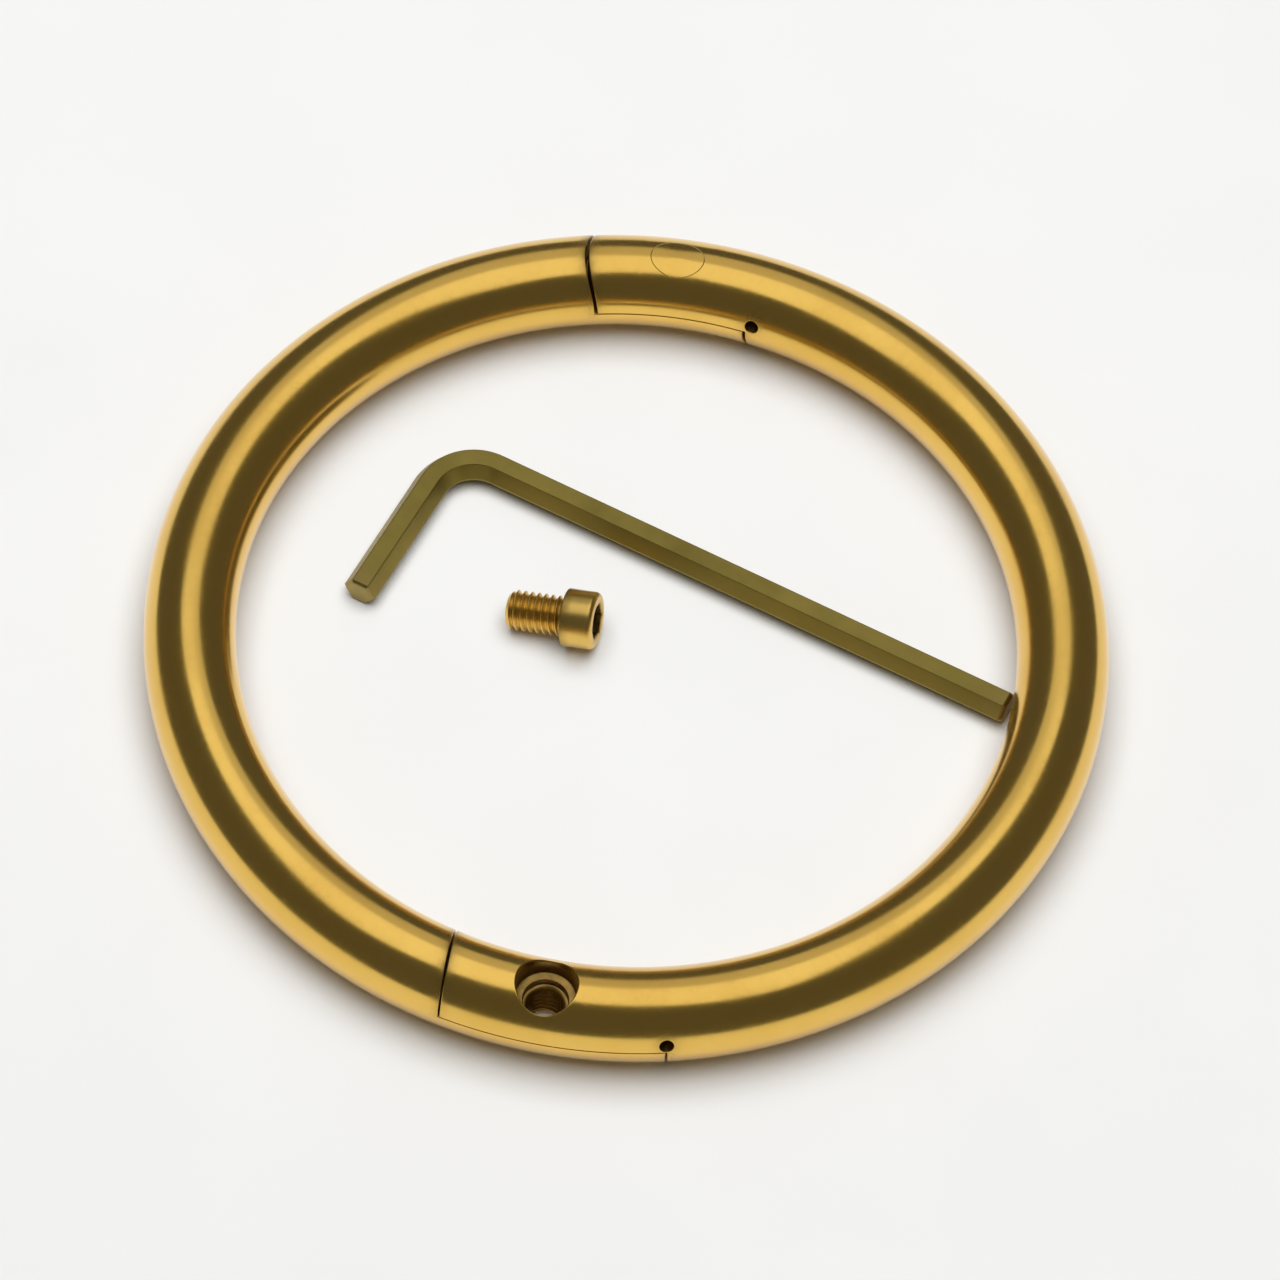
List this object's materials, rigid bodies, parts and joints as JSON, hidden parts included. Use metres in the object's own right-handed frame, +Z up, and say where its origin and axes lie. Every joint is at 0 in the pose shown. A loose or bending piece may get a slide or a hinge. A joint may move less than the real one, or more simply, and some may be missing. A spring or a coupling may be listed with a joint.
{
  "type": "hinged ring",
  "caption": "Hinged brass ring lying closed, half-lap joints with a rivet hinge and a counterbored screw joint, with its loose closing screw and L-shaped hex key.",
  "frame": {"origin": "on the surface the ring lies on, under the centre of the ring", "axes": "+Z up, square to the plane of the ring; +Y from the closing joint's side towards the hinge rivet, which is on +Y; +X towards the half that carries the upper laps"},
  "size_m": [0.094, 0.094, 0.009],
  "materials": {
    "ring_brass": "polished",
    "rivet_brass": "polished flush with the ring",
    "screw_brass": "machined, slightly dull",
    "key_bronze": "satin, dark bronze-coloured plating"
  },
  "bodies": {
    "right": {"right_half": "ring_brass"},
    "left": {"left_half": "ring_brass", "hinge_rivet": "rivet_brass"},
    "screw": {"closing_screw": "screw_brass"},
    "key": {"hex_key": "key_bronze"}
  },
  "joints": [
    {"name": "ring_hinge", "type": "hinge", "parent": "right", "child": "left", "pos_m": [0, 0.0425, 0.0045], "axis": [0, 0, -1], "range_deg": [0, 110]},
    {"name": "screw_lift", "type": "slide", "parent": "right", "child": "screw", "axis": [0, 0, 1], "range_m": [0, 0.05]},
    {"name": "key_lift", "type": "slide", "parent": "right", "child": "key", "axis": [0, 0, 1], "range_m": [0, 0.05]}
  ]
}
